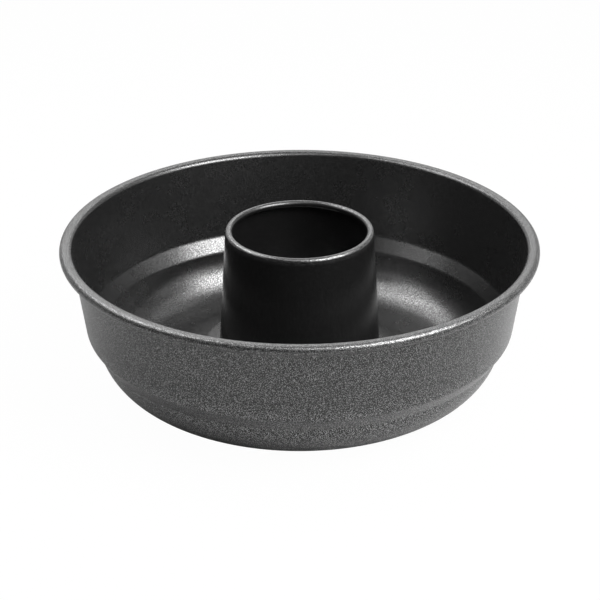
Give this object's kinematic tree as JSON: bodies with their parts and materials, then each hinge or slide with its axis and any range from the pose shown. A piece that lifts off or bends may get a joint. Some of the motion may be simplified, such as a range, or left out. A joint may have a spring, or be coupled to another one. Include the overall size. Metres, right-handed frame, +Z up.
{
  "type": "ring cake tin",
  "caption": "Round ring cake tin with a rolled rim, a stepped drafted wall, a rounded bottom and a raised seat that holds an open centre tube.",
  "frame": {"origin": "centre of the tin on the plane that its base ring rests on", "axes": "+Z up along the tube's axis; X and Y are any two level directions, because the tin is round"},
  "size_m": [0.25, 0.25, 0.0828],
  "materials": {
    "pan_coating": "speckled satin non-stick",
    "tube_coating": "satin non-stick"
  },
  "bodies": {
    "root": {"pan_body": "pan_coating", "centre_tube": "tube_coating"}
  },
  "joints": []
}
